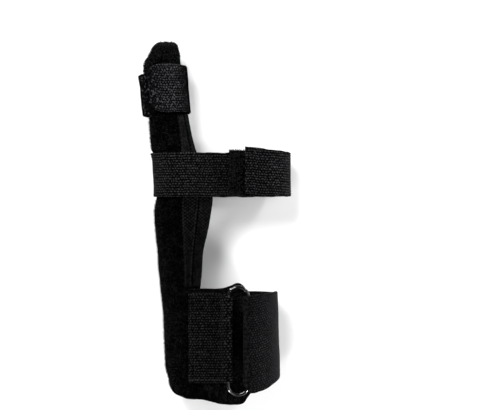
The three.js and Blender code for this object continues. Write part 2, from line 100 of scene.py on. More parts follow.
body_size = table(
    "y ulnar bend base crown edge droop back rise",
    [
        (-110, -28.2, 15, 0, 42, -9, 0.5, -10, 0),
        (-97, -28.6, 15, 0, 42, -9, 0.5, -10, 0),
        (-88, -30.6, 16, 0, 42, -9, 0.5, -10, 0),
        (-70, -31.2, 16, 0, 42, -9, 0.5, -10, 0),
        (-48, -32.9, 16, 0, 41.7, -9, 0.6, -10, 0),
        (-39, -33.8, 16, 0, 41, -8.8, 1, -10, 0),
        (-30, -34.5, 16, 0.3, 39.6, -8.1, 1.8, -10.5, 0),
        (-18, -35.5, 16, 0.9, 38, -7.4, 2.8, -11.5, 0),
        (-6, -36.9, 16, 1.4, 36.5, -4.6, 3.4, -13, 0),
        (6, -37.5, 16, 1.8, 35.1, -2.5, 3.5, -14.5, 0),
        (16, -36.3, 15, 2.1, 34, -1.6, 3.5, -16, 0),
        (30, -36.8, 14.6, 2.1, 32.8, -5.2, 3.8, -18, 0),
        (42, -38.3, 13.8, 2.2, 30.9, -11.4, 5, -20.5, 0.5),
        (44.5, -39.9, 13.8, 2.25, 30.2, -12.4, 5.4, -20.9, 0.6),
        (48, -40.3, 13.3, 2.3, 29.4, -13.6, 6, -21.5, 0.8),
        (54, -40.6, 12.3, 2.4, 27.6, -15.3, 7, -22.5, 1.2),
        (66, -41.2, 11.5, 2.6, 25.4, -17.6, 8, -24, 1.8),
        (80, -42.4, 11.3, 2.8, 25, -19.4, 8, -25.6, 2),
        (98, -44.3, 11, 3.2, 25, -21.2, 7.6, -27.2, 2),
        (104, -41, 10.2, 4.2, 23.2, -21.8, 6, -27.2, 2),
        (108.2, -38.6, 8.2, 5.8, 20.6, -23.2, 3.5, -27, 1.2),
        (111.2, -35.2, 4.9, 7.6, 17, -24, 1, -26.8, 0.3),
    ],
)
body_ends = table(
    "across low high",
    [
        (0, -106.3, 109.8),
        (0.1, -106.2, 110.9),
        (0.22, -104.9, 111.2),
        (0.34, -103.3, 111.2),
        (0.45, -101.4, 111.2),
        (0.56, -100.4, 110.9),
        (0.8, -99, 107.6),
        (1, -98.4, 102),
    ],
)
tape_edges = table(
    "y left right",
    [
        (-38.6, -18.6, -14.4),
        (-30, -18.8, -14.2),
        (-18, -19.2, -13.6),
        (-6, -19.6, -12.2),
        (6, -20, -11),
        (16, -20.2, -10.4),
        (30, -20.6, -12.5),
        (43, -20.9, -15.6),
        (54, -22.4, -18.3),
        (66, -24.3, -20.6),
    ],
)
TAPE_LOW, TAPE_HIGH, BAND_SPACE, BAND_INSET = -38.6, 66.0, 0.6, 0.3
finger_strap_edges = table(
    "along low high",
    [
        (0, 70, 88.8),
        (0.045, 66, 90.2),
        (0.22, 65.2, 90.6),
        (0.45, 65.8, 92.8),
        (0.7, 67.4, 96.2),
        (0.84, 67.4, 96.6),
        (0.93, 67.6, 96),
        (0.975, 69.6, 93.6),
        (1, 72.6, 90),
    ],
)
finger_strap_fit = table("y reach loose", [(64, -16.8, 1.8), (76, -17.9, 2.7), (97, -19.6, 1.7)])
FINGER_STRAP_START, FINGER_STRAP_END = math.radians(105), math.radians(123)
PALM_LIFT, PALM_REACH, PALM_BEND_X, PALM_FREE_END = 2.0, 44.6, 29.0, 17.9
PALM_LOWER_X, PALM_LOWER_Z = 30.0, 30.0
palm_strap_edges = table(
    "along low high",
    [
        (0, 15.9, 42.7),
        (0.3, 15.5, 42.5),
        (0.66, 15.5, 42.5),
        (0.76, 15.5, 42.5),
        (0.84, 15.7, 42.6),
        (0.9, 16.2, 43.7),
        (0.95, 16.8, 44.9),
        (1, 17.4, 46.2),
    ],
)
PATCH_LEFT, PATCH_RIGHT, PATCH_LOW, PATCH_HIGH = 8.2, 29.4, 15.9, 43.9
CUFF_LEFT, CUFF_RIGHT, CUFF_CROWN_X, CUFF_CROWN, CUFF_FALL = -10.2, 24.0, 2.0, 42.0, 0.008
cuff_ends = table(
    "x low high",
    [
        (-8.6, -106.3, -40),
        (-2, -107.8, -39.5),
        (5, -109, -39.2),
        (9, -109.5, -37.8),
        (12.5, -109.4, -36.2),
        (15.5, -109, -36.9),
        (17.5, -108.2, -38.6),
        (19.2, -105.6, -40.6),
        (21, -103.2, -42),
        (24, -101.2, -43),
    ],
)
ELASTIC_SEAM, ELASTIC_FACE, ELASTIC_DROP = -16.0, 43.5, 2.6
elastic_edges = table(
    "along low high",
    [
        (0, -95.8, -39.6),
        (0.34, -95.8, -39.6),
        (0.37, -95.8, -39.8),
        (0.45, -95.4, -43.8),
        (0.55, -95.4, -43.8),
        (0.63, -95.8, -39.8),
        (0.66, -95.8, -39.6),
        (1, -95.8, -39.6),
    ],
)
STRAP_START, STRAP_STEP_FROM, STRAP_STEP_TO, STRAP_END, STRAP_BEND_X = -9.4, -1.0, 8.0, 8.8, 20.5
strap_reach = table("y reach", [(-105, 37.5), (-93, 37.2), (-41, 35.6)])
strap_edges = table(
    "along low high",
    [
        (0, -97.4, -43.4),
        (0.17, -97, -43.4),
        (0.35, -94.6, -43.2),
        (0.45, -94.6, -43.2),
        (0.49, -95.6, -43.4),
        (0.53, -97, -43.8),
        (0.55, -97.3, -43.8),
        (0.5625, -101.2, -43.5),
        (0.575, -101.7, -43),
        (0.598, -100.8, -42.6),
        (0.6255, -99.5, -42.3),
        (0.646, -98, -42.2),
        (0.672, -96.6, -42),
        (0.724, -94.9, -41.9),
        (0.766, -94.4, -42.4),
        (0.8, -94.8, -43),
        (0.93, -96, -43.2),
        (1, -95, -43.6),
    ],
)


# Curves across the splint, as dense points (x, z).
def line(a, b, count=24):
    return np.linspace(a, b, count)


def bezier(*points, count=60):
    """A Bezier curve of any order."""
    t = np.linspace(0, 1, count)[:, None]
    n = len(points) - 1
    return sum(math.comb(n, k) * t**k * (1 - t) ** (n - k) * np.array(p, float) for k, p in enumerate(points))


def ellipse(cx, cz, rx, rz, start, end, count=140):
    turn = np.linspace(start, end, count)
    return np.stack([cx + rx * np.cos(turn), cz + rz * np.sin(turn)], 1)


QUARTER = math.pi / 2


def body_curve(y):
    s = body_size(y)
    base = max(0.0, float(s["base"]))
    bend_x = s["ulnar"] + s["bend"]
    half = (s["crown"] - base) / 2
    return np.concatenate([
        bezier(
            (s["edge"], s["crown"] - s["droop"]), ((bend_x + s["edge"]) / 2, s["crown"]), (bend_x, s["crown"])
        ),
        ellipse(bend_x, base + half, s["bend"], half, QUARTER, 3 * QUARTER),
        bezier((bend_x, base), ((bend_x + s["back"]) / 2, base), (s["back"], base + s["rise"])),
    ])


def finger_strap_curve(y):
    s, fit = body_size(y), finger_strap_fit(y)
    bend_x = s["ulnar"] + s["bend"]
    low, high = s["base"] - GAP, s["crown"] + GAP
    lapped = high + FINGER_STRAP_WALL + GAP
    first_half, lapped_half = (high - low) / 2, (lapped - low) / 2
    first_width = s["bend"] + fit["loose"]
    lapped_width = first_width + FINGER_STRAP_WALL + GAP
    return np.concatenate([
        ellipse(bend_x, low + first_half, first_width, first_half, FINGER_STRAP_START, 3 * QUARTER),
        ellipse(bend_x, low + lapped_half, fit["reach"] - bend_x, lapped_half, 3 * QUARTER, 5 * QUARTER),
        ellipse(bend_x, low + lapped_half, lapped_width, lapped_half, QUARTER, FINGER_STRAP_END),
    ])


def palm_layer(y, x):
    """Height of the palm strap's lower layer, inner face."""
    s = body_size(y)
    bend_x = s["ulnar"] + s["bend"]
    top = s["crown"] + PALM_LIFT
    return top + (PALM_LOWER_Z - top) * (x - bend_x) / (PALM_LOWER_X - bend_x)


PALM_LAP = PALM_STRAP_WALL + PATCH_WALL + 2 * GAP


def palm_strap_curve(y):
    s = body_size(y)
    bend_x = s["ulnar"] + s["bend"]
    top = s["crown"] + PALM_LIFT
    lapped = palm_layer(y, PALM_BEND_X) + PALM_LAP
    fold_half, bend_half = (top - PALM_STRAP_WALL) / 2, (lapped - PALM_STRAP_WALL) / 2
    return np.concatenate([
        line((PALM_LOWER_X, PALM_LOWER_Z), (bend_x, top)),
        ellipse(bend_x, top - fold_half, s["bend"] + GAP, fold_half, QUARTER, 3 * QUARTER),
        line((bend_x, PALM_STRAP_WALL), (PALM_BEND_X, PALM_STRAP_WALL)),
        ellipse(PALM_BEND_X, lapped - bend_half, PALM_REACH - PALM_BEND_X, bend_half, -QUARTER, QUARTER),
        line((PALM_BEND_X, lapped), (PALM_FREE_END, palm_layer(y, PALM_FREE_END) + PALM_LAP)),
    ])


def elastic_curve(y):
    bar_x = RING_X - RING_HALF_WIDTH
    closed, over = ELASTIC_FACE + GAP, RING_Z + RING_CLEAR
    settled = bar_x - 2 * ELASTIC_DROP
    return np.concatenate([
        line((ELASTIC_SEAM, ELASTIC_FACE), (bar_x, RING_Z - RING_CLEAR)),
        ellipse(bar_x, RING_Z, RING_CLEAR, RING_CLEAR, -QUARTER, QUARTER),
        bezier(
            (bar_x, over), (bar_x - ELASTIC_DROP, over), (settled + ELASTIC_DROP, closed), (settled, closed)
        ),
        line((settled, closed), (ELASTIC_SEAM, closed)),
    ])


def wrist_strap_curve(y):
    bar_x = RING_X + RING_HALF_WIDTH
    under, over = RING_Z - RING_CLEAR, RING_Z + RING_CLEAR
    step_up = WRIST_STRAP_WALL + GAP
    half = (under - step_up) / 2
    middle = step_up + half
    reach = float(strap_reach(y)["reach"]) - STRAP_BEND_X
    outer = reach + STRAP_BEND_X + GAP - bar_x
    step = (STRAP_STEP_FROM + STRAP_STEP_TO) / 2
    return np.concatenate([
        line((STRAP_START, 0), (STRAP_STEP_FROM, 0)),
        bezier((STRAP_STEP_FROM, 0), (step, 0), (step, step_up), (STRAP_STEP_TO, step_up)),
        line((STRAP_STEP_TO, step_up), (STRAP_BEND_X, step_up)),
        ellipse(STRAP_BEND_X, middle, reach, half, -QUARTER, QUARTER),
        line((STRAP_BEND_X, under), (bar_x, under), 4),
        ellipse(bar_x, RING_Z, RING_CLEAR, RING_CLEAR, -QUARTER, -3 * QUARTER),
        ellipse(bar_x, middle, outer, over - middle, QUARTER, 0),
        ellipse(bar_x, middle, outer, middle - WRIST_STRAP_WALL, 0, -QUARTER),
        line((bar_x, WRIST_STRAP_WALL), (STRAP_END, WRIST_STRAP_WALL)),
    ])


class Section:
    """A family of curves, one for each height y, read at (y, f) with f the share of the curve's length."""

    def __init__(self, curve, low, high, step=0.5, count=480):
        self.low, self.step, self.count = low, step, count
        self.rows = int(math.ceil((high - low) / step)) + 1
        points, lengths = [], []
        for y in low + step * np.arange(self.rows):
            p = curve(y)
            run = np.r_[0, np.cumsum(np.hypot(*np.diff(p, axis=0).T))]
            at = np.linspace(0, run[-1], count + 1)
            points.append(np.stack([np.interp(at, run, p[:, k]) for k in (0, 1)], 1))
            lengths.append(run[-1])
        self.points = np.array(points)
        along = np.gradient(self.points, axis=1)
        along /= np.linalg.norm(along, axis=2, keepdims=True)
        self.normals = np.stack([along[..., 1], -along[..., 0]], -1)
        self.length = float(np.mean(lengths))

    def __call__(self, y, f):
        """Points and right-hand normals, each (..., 2)."""
        r = np.clip((y - self.low) / self.step, 0, self.rows - 1.001)
        c = np.clip(f * self.count, 0, self.count - 1e-6)
        r0, c0 = r.astype(int), c.astype(int)
        a, b = (r - r0)[..., None], (c - c0)[..., None]

        def mixed(grid):
            near = grid[r0, c0] * (1 - b) + grid[r0, c0 + 1] * b
            far = grid[r0 + 1, c0] * (1 - b) + grid[r0 + 1, c0 + 1] * b
            return near * (1 - a) + far * a

        normals = mixed(self.normals)
        return mixed(self.points), normals / np.linalg.norm(normals, axis=-1, keepdims=True)


BODY = Section(body_curve, -108, 112)
FINGER_STRAP = Section(finger_strap_curve, 62, 98)
PALM_STRAP = Section(palm_strap_curve, 14, 47)
ELASTIC = Section(elastic_curve, -98, -39, step=10)
WRIST_STRAP = Section(wrist_strap_curve, -104, -40, step=2)


def over_palm_face(y, x, lift):
    """Points that far over the body's palm face at given x, and the face's normals there."""
    y, x = np.broadcast_arrays(np.asarray(y, float), np.asarray(x, float))
    flat_y, flat_x = y.ravel(), x.ravel()
    r = np.clip(np.round((flat_y - BODY.low) / BODY.step).astype(int), 0, BODY.rows - 1)
    f = np.empty_like(flat_x)
    shares = np.linspace(0, 1, BODY.count + 1)
    for row in np.unique(r):
        xs = BODY.points[row, :, 0]
        turn = int(np.argmin(xs))
        f[r == row] = np.interp(-flat_x[r == row], -xs[: turn + 1], shares[: turn + 1])
    points, normals = BODY(flat_y, f)
    points = points + normals * lift
    return points.reshape(*y.shape, 2), normals.reshape(*y.shape, 2)


# Meshes
def spaced(count, margin):
    """Shares from 0 to 1, close together within the margin at each end, for a rolled edge."""
    roll = margin * np.array([0, 0.03, 0.13, 0.3, 0.55, 0.8])
    inside = np.linspace(margin, 1 - margin, count - 2 * len(roll) + 1)
    return np.concatenate([roll, inside, 1 - roll[::-1]])


def rolled(distance, radius):
    """Share of the full thickness at a distance from an edge."""
    return np.sqrt(np.clip(1 - (1 - np.clip(distance / radius, 0, 1)) ** 2, 0, 1))


def waves(where, wavelengths, count, seed):
    """A sum of slow waves in random directions, about -1 to 1, of points (..., k)."""
    rng = np.random.default_rng(seed)
    total = np.zeros(where.shape[:-1])
    for _ in range(count):
        way = rng.normal(size=where.shape[-1])
        way *= 2 * math.pi / (rng.uniform(*wavelengths) * np.linalg.norm(way))
        total += rng.uniform(0.5, 1) * np.sin(where @ way + rng.uniform(0, 2 * math.pi))
    return total / math.sqrt(count)


UNEVEN, UNEVEN_WAVES, UNEVEN_SEEDS = np.array([0.2, 0.2, 0.45]), (26, 75), (71, 72, 73)
EVEN_NEAR_FLOOR, EVEN_NEAR_RING = 9, 14


def unevenness(points):
    """How far soft things stray from the plain shape, in mm: the same for all layers, so that they keep their
    distances, none near the ring and none upwards at the floor."""
    half = np.array([RING_HALF_WIDTH, (RING_TOP - RING_BOTTOM) / 2, 0]) + RING_WIRE / 2
    apart = np.linalg.norm(np.maximum(np.abs(points - RING_AT) - half, 0), axis=-1)
    stray = np.stack([waves(points, UNEVEN_WAVES, 9, seed) for seed in UNEVEN_SEEDS], -1)
    stray[..., 2] *= np.clip(points[..., 2] / EVEN_NEAR_FLOOR, 0, 1)
    return UNEVEN * stray * np.clip(apart / EVEN_NEAR_RING, 0, 1)[..., None] ** 2


def new_object(name, points, faces, material, uv=None, edge=None):
    """A smooth mesh object from points in mm of the source, in the frame's metres, with a map in mm named
    Cloth and one named Edge that holds the distance from the cloth's edge."""
    mesh = bpy.data.meshes.new(name)
    points = (np.asarray(points, float) + SHIFT) * MM
    faces = np.asarray(faces, np.int32)
    size = faces.shape[1]
    mesh.vertices.add(len(points))
    mesh.vertices.foreach_set("co", points.astype(np.float32).ravel())
    mesh.loops.add(faces.size)
    mesh.loops.foreach_set("vertex_index", faces.ravel())
    mesh.polygons.add(len(faces))
    mesh.polygons.foreach_set("loop_start", np.arange(0, faces.size, size, dtype=np.int32))
    mesh.update(calc_edges=True)
    mesh.shade_smooth()
    if uv is not None:
        layer = mesh.uv_layers.new(name="Cloth")
        layer.uv.foreach_set("vector", np.asarray(uv, np.float32)[faces.ravel()].ravel())
    if edge is not None:
        layer = mesh.uv_layers.new(name="Edge")
        layer.uv.foreach_set("vector", np.repeat(np.asarray(edge, np.float32)[faces.ravel()], 2))
    mesh.materials.append(material)
    mesh.validate()
    made = bpy.data.objects.new(name, mesh)
    bpy.context.scene.collection.objects.link(made)
    return made


def dress(piece, slot, *nodes):
    """Hangs a piece on the root body and hides the solids that it stands for; the slot is not used."""
    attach(piece, "root")
    if nodes:
        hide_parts(*nodes)
    return piece


WANDER_WAVES, WANDER_SEEDS = (5, 22), (41, 42)


class Wall:
    """A cloth wall with rolled edges, swept along y. at(y, f) gives points and right-hand normals; the wall
    lies on the right-hand side of the curve, or on the left with side -1. relief and inner_relief raise the
    two faces, roll is the radius of the edges, and wander is how far the two long edges stray, in mm."""

    def __init__(
        self,
        at,
        ends,
        length,
        thickness,
        side,
        columns,
        rows,
        relief=None,
        inner_relief=None,
        roll=None,
        wander=0.0,
    ):
        self.at, self.ends, self.length = at, ends, length
        self.thickness, self.side = thickness, side
        self.relief, self.inner_relief = relief, inner_relief
        self.roll = roll or thickness / 2
        self.columns, self.rows, self.wander = columns, rows, wander

    def surface(self, f, v, outer=True):
        """Points and normals on a face, at shares along the curve and up it, and there the distances in mm
        along the cloth, up it and from its nearest edge, each (..., 3)."""
        ends = self.ends(f)
        low, high = ends["low"], ends["high"]
        along = f * self.length
        if self.wander:
            astray = [waves(along[..., None], WANDER_WAVES, 6, seed) for seed in WANDER_SEEDS]
            low, high = low + self.wander * astray[0], high + self.wander * astray[1]
        y = low + (high - low) * v
        point, normal = self.at(y, f)
        height = high - low
        up = v * height
        from_end, from_side = np.minimum(along, self.length - along), np.minimum(up, height - up)
        edge = rolled(from_end, self.roll) * rolled(from_side, self.roll)
        half = self.thickness / 2
        raised = self.relief if outer else self.inner_relief
        lift = half * edge
        if raised:
            lift = lift + raised(along, y, up, height) * edge
        away = self.side * half + (lift if outer else -lift)
        flat = point + normal * away[..., None]
        place = np.stack([flat[..., 0], y, flat[..., 1]], -1)
        facing = np.stack([normal[..., 0], 0 * y, normal[..., 1]], -1) * (1 if outer else -1)
        return place + unevenness(place), facing, np.stack([along, up, np.minimum(from_end, from_side)], -1)

    def mesh(self, name, material):
        f = spaced(self.columns, self.roll / self.length)
        middle = self.ends(np.array([0.5]))
        v = spaced(self.rows, self.roll / float((middle["high"] - middle["low"])[0]))
        v, f = np.meshgrid(v, f, indexing="ij")
        rows, columns = f.shape
        outer, _, uv = self.surface(f, v)
        inner, _, _ = self.surface(f, v, outer=False)
        number = np.arange(rows * columns).reshape(rows, columns)
        rim = np.ones((rows, columns), bool)
        rim[1:-1, 1:-1] = False
        back = np.where(rim, number, 0)
        back[~rim] = rows * columns + np.arange((~rim).sum())

        def quads(n, flip):
            a, b, c, d = n[:-1, :-1], n[1:, :-1], n[1:, 1:], n[:-1, 1:]
            corners = (d, c, b, a) if flip else (a, b, c, d)
            return np.stack([x.ravel() for x in corners], 1)

        points = np.concatenate([outer.reshape(-1, 3), inner[~rim]])
        maps = np.concatenate([uv.reshape(-1, 3), uv[~rim]])
        faces = np.concatenate([quads(number, False), quads(back, True)])
        return new_object(name, points, faces, material, maps[:, :2], maps[:, 2])


def tubes(name, paths, radii, up, sides, material):
    """Many small closed tubes as one mesh: paths (n, m, 3), radii (n, m), up (n, 3)."""
    paths, radii, up = (np.asarray(v, float) for v in (paths, radii, up))
    along = np.gradient(paths, axis=1)
    along /= np.linalg.norm(along, axis=2, keepdims=True)
    side = np.cross(along, up[:, None, :])
    side /= np.linalg.norm(side, axis=2, keepdims=True)
    top = np.cross(side, along)
    turn = np.linspace(0, 2 * math.pi, sides, endpoint=False)
    around = np.cos(turn)[:, None] * side[:, :, None, :] + np.sin(turn)[:, None] * top[:, :, None, :]
    points = paths[:, :, None, :] + radii[:, :, None, None] * around
    count, steps = radii.shape
    number = np.arange(count * steps * sides).reshape(count, steps, sides)
    a, c = number[:, :-1], number[:, 1:]
    b, d = np.roll(a, -1, 2), np.roll(c, -1, 2)
    faces = [np.stack(corners, -1).reshape(-1, 3) for corners in ((a, c, d), (a, d, b))]
    for k in range(1, sides - 1):
        faces.append(np.stack([number[:, 0, 0], number[:, 0, k], number[:, 0, k + 1]], -1))
        faces.append(np.stack([number[:, -1, 0], number[:, -1, k + 1], number[:, -1, k]], -1))
    return new_object(name, points.reshape(-1, 3), np.concatenate(faces), material)


def stitches(name, rows, material, spacing=2.6, length=1.9, radius=0.2):
    """Sewn rows: each row is (points, normals) along a seam, and each stitch a short bowed thread."""
    shape = np.array([-1, -0.7, 0, 0.7, 1])
    paths, ups = [], []
    for points, normals in rows:
        run = np.r_[0, np.cumsum(np.linalg.norm(np.diff(points, axis=0), axis=1))]
        middle = np.arange(spacing / 2, run[-1] - length / 2, spacing)
        at = middle[:, None] + shape * length / 2
        place = np.stack([np.interp(at, run, points[:, k]) for k in range(3)], -1)
        normal = np.stack([np.interp(middle, run, normals[:, k]) for k in range(3)], -1)
        bow = radius * (0.75 - 1.5 * shape**2)
        paths.append(place + bow[None, :, None] * normal[:, None, :])
        ups.append(normal)
    paths, ups = np.concatenate(paths), np.concatenate(ups)
    radii = np.tile(radius * np.array([0.5, 0.9, 1.0, 0.9, 0.5]), (len(paths), 1))
    return tubes(name, paths, radii, ups, 5, material)


def nap(name, roots, normals, length, radius, seed, material, lean=0.8):
    """Short bent fibres standing on a surface."""
    rng = np.random.default_rng(seed)
    count = len(roots)
    way = rng.normal(size=(count, 3))
    way -= normals * np.sum(way * normals, axis=1, keepdims=True)
    way /= np.linalg.norm(way, axis=1, keepdims=True)
    long = length * rng.uniform(0.5, 1.35, (count, 1))
    bend = lean * rng.uniform(0.2, 1.1, (count, 1))
    middle = roots + long * (0.5 * normals + 0.25 * bend * way)
    tip = roots + long * (0.75 * normals + 0.8 * bend * way)
    paths = np.stack([roots - 0.2 * normals, middle, tip], 1)
    radii = radius * rng.uniform(0.7, 1.2, (count, 1)) * np.array([[1.0, 0.8, 0.3]])
    up = np.cross(way, normals)
    return tubes(name, paths, radii, up, 3, material)


# Materials
class Nodes:
    """A small helper that adds nodes to a material and links them."""

    def __init__(self, name):
        self.material = bpy.data.materials.new(name)
        self.material.use_nodes = True
        self.tree = self.material.node_tree
        self.shader = self.tree.nodes["Principled BSDF"]

    def add(self, kind, inputs=(), **settings):
        node = self.tree.nodes.new(kind)
        for key, value in settings.items():
            setattr(node, key, value)
        for key, value in dict(inputs).items():
            self.put(node, key, value)
        return node

    def put(self, node, key, value):
        if isinstance(value, bpy.types.NodeSocket):
            self.tree.links.new(value, node.inputs[key])
        else:
            node.inputs[key].default_value = value

    def cloth(self):
        """The cloth's own coordinates in mm."""
        return self.add("ShaderNodeUVMap", uv_map="Cloth").outputs["UV"]

    def along(self):
        """The distance along the cloth in mm."""
        return self.add("ShaderNodeSeparateXYZ", {0: self.cloth()}).outputs[0]

    def up(self):
        """The distance up the cloth in mm."""
        return self.add("ShaderNodeSeparateXYZ", {0: self.cloth()}).outputs[1]

    def fade(self, value, start, end, first, last):
        """From first to last, as value goes from start to end."""
        inputs = {0: value, 1: start, 2: end, 3: first, 4: last}
        return self.add("ShaderNodeMapRange", inputs).outputs[0]

    def worn(self, reach):
        """1 at the cloth's edge, falling unevenly to 0 at about that distance in mm."""
        edge = self.add("ShaderNodeUVMap", uv_map="Edge").outputs["UV"]
        away = self.add("ShaderNodeSeparateXYZ", {0: edge}).outputs[0]
        away = self.math("ADD", away, self.math("MULTIPLY", self.noise(self.place(), 0.8, 2.0), reach))
        return self.fade(away, 0.3 * reach, 1.4 * reach, 1.0, 0.0)

    def place(self):
        """Object coordinates in mm."""
        spot = self.add("ShaderNodeTexCoord").outputs["Object"]
        return self.add("ShaderNodeVectorMath", {0: spot, 3: 1000.0}, operation="SCALE").outputs[0]

    def math(self, operation, a, b=0.0):
        return self.add("ShaderNodeMath", {0: a, 1: b}, operation=operation).outputs[0]

    def lifted(self, wave):
        """A wave between -1 and 1, brought between 0 and 1."""
        return self.add("ShaderNodeMath", {0: wave, 1: 0.5, 2: 0.5}, operation="MULTIPLY_ADD").outputs[0]

    def stretched(self, vector, by):
        return self.add("ShaderNodeVectorMath", {0: vector, 1: by}, operation="MULTIPLY").outputs[0]

    def noise(self, vector, scale, detail=2.0, roughness=0.5):
        inputs = {"Vector": vector, "Scale": scale, "Detail": detail, "Roughness": roughness}
        return self.add("ShaderNodeTexNoise", inputs).outputs["Fac"]

    def speckle(self, vector, scale, power, randomness):
        """A brightness for each small cell, from 0 to 1: the higher the power, the fewer the bright ones."""
        inputs = {"Vector": vector, "Scale": scale, "Randomness": randomness}
        cells = self.add("ShaderNodeTexVoronoi", inputs).outputs["Color"]
        chance = self.add("ShaderNodeSeparateColor", {0: cells}).outputs[0]
        return self.math("POWER", chance, power)

    def dots(self, vector, scale, randomness):
        """Round loops on the cloth: 1 in the middle of each, 0 between them, and a chance from 0 to 1 for
        each."""
        inputs = {"Vector": vector, "Scale": scale, "Randomness": randomness}
        cells = self.add("ShaderNodeTexVoronoi", inputs, voronoi_dimensions="2D")
        shape = self.fade(cells.outputs["Distance"], 0.1, 0.65, 1.0, 0.0)
        return shape, self.add("ShaderNodeSeparateColor", {0: cells.outputs["Color"]}).outputs[0]

    def rows(self, up_pitch, along_pitch):
        """Rows of loops on the cloth, each row half a step from the next and all a little astray: the rise of
        the rows, that of the loops along them, and a chance from 0 to 1 for each loop."""
        cloth = self.cloth()
        strays = self.math("MULTIPLY", self.math("SUBTRACT", self.noise(cloth, 0.7, 1.0), 0.5), 1.1)
        row = self.math("ADD", self.math("DIVIDE", self.up(), up_pitch), strays)
        step = self.math("DIVIDE", self.along(), along_pitch)
        step = self.math("ADD", step, self.math("MULTIPLY", self.math("ROUND", row), 0.5))
        step = self.math("ADD", step, self.math("MULTIPLY", self.noise(cloth, 0.45, 1.0), 1.4))
        waves = [self.math("COSINE", self.math("MULTIPLY", phase, 2 * math.pi)) for phase in (row, step)]
        cord, loop = (self.lifted(wave) for wave in waves)
        chance = self.speckle(self.stretched(cloth, (1 / along_pitch, 1 / up_pitch, 1.0)), 1.0, 1.0, 0.4)
        return cord, loop, chance

    def ramp(self, value, low, high, dark, light):
        """A grey or colour between two, as value goes from low to high."""
        inputs = {0: value, 1: low, 2: high}
        share = self.add("ShaderNodeMapRange", inputs, interpolation_type="SMOOTHSTEP").outputs[0]
        inputs = {0: share, 6: (*dark, 1), 7: (*light, 1)}
        return self.add("ShaderNodeMix", inputs, data_type="RGBA").outputs[2]

    def bump(self, height, distance, strength=1.0, over=None):
        inputs = {"Height": height, "Distance": distance * MM, "Strength": strength}
        node = self.add("ShaderNodeBump", inputs)
        if over is not None:
            self.put(node, "Normal", over)
        return node.outputs["Normal"]

    def finish(self, color, normal, roughness, specular, sheen=0.0, sheen_roughness=0.5, metallic=0.0):
        for key, value in {
            "Base Color": color,
            "Normal": normal,
            "Roughness": roughness,
            "Specular IOR Level": specular,
            "Sheen Weight": sheen,
            "Sheen Roughness": sheen_roughness,
            "Sheen Tint": (1.0, 1.0, 1.0, 1.0),
            "Metallic": metallic,
        }.items():
            self.put(self.shader, key, value)
        return self.material


def grey(value, blue=1.06):
    return (value, value, value * blue)


# Distances up the body's cloth, in mm, between which its loops grow from smooth to knotted.
SMOOTH_TO, KNOTTED_FROM = 150.0, 200.0


def brushed_loop(name, dark, light, size, painted_shade_to=None, knots=None):
    """Napped loop cloth: matted tufts about a millimetre across, over slow changes of the nap's lie.
    painted_shade_to: distance along it, in mm, up to which the nap is painted darker, as the shadow under and
    beside the palm strap's free end; past it the nap is paler. knots: how far single loops stand out in the
    smooth stretch and in the knotted one."""
    n = Nodes(name)
    place = n.place()
    tufts = n.noise(place, 1 / size, 2.0, 0.6)
    clumps = n.noise(place, 0.16, 2.0)
    share = n.math("ADD", tufts, n.math("MULTIPLY", n.math("SUBTRACT", clumps, 0.5), 0.45))
    share = n.math("ADD", share, n.math("MULTIPLY", n.worn(1.6), 0.06))
    # Painted shadow: up to that distance the nap is kept darker, under and beside the palm strap's free end.
    if painted_shade_to:
        share = n.math("ADD", share, n.fade(n.along(), painted_shade_to, painted_shade_to + 2.5, 0.0, 0.12))
    if knots:
        loops, chance = n.dots(n.cloth(), 1 / 1.4, 0.8)
        strength = n.fade(n.up(), SMOOTH_TO, KNOTTED_FROM, *knots)
        knot = n.math("SUBTRACT", n.math("MULTIPLY", loops, n.math("ADD", chance, 0.4)), 0.42)
        share = n.math("ADD", share, n.math("MULTIPLY", knot, strength))
    color = n.ramp(share, 0.47, 0.74, grey(dark), grey(light))
    return n.finish(color, n.bump(tufts, 0.8, 0.8), 1.0, 0.0, sheen=0.002, sheen_roughness=0.5)


TAPE_PITCH = 2.0


def woven_tape(name, dark, light):
    """A plain woven tape: threads across and along, passing over and under, a little darker towards the wrist.
    """
    n = Nodes(name)
    turn = 2 * math.pi / TAPE_PITCH
    weft, warp = (n.math("SINE", n.math("MULTIPLY", at, turn)) for at in (n.along(), n.up()))
    lift = n.lifted(n.math("MULTIPLY", weft, warp))
    stray = n.noise(n.place(), 1.2, 2.0, 0.6)
    grain = n.math("MULTIPLY", n.math("SUBTRACT", n.speckle(n.place(), 1 / 1.3, 1.0, 1.0), 0.5), 0.6)
    weave = n.math("SUBTRACT", n.math("MULTIPLY", lift, 1.1), 0.4)
    share = n.math("ADD", n.math("ADD", weave, stray), grain)
    share = n.math("ADD", share, n.math("MULTIPLY", n.worn(0.7), 0.03))
    share = n.math("MULTIPLY", share, n.fade(n.up(), 18.0, 58.0, 0.86, 0.96))
    color = n.ramp(share, 0.45, 1.05, grey(dark), grey(light))
    normal = n.bump(lift, 0.16, 0.8, n.bump(stray, 0.4, 0.6))
    return n.finish(color, normal, 0.9, 0.01, sheen=0.0015)


RIB_PITCH, LOOP_PITCH = 1.55, 1.65


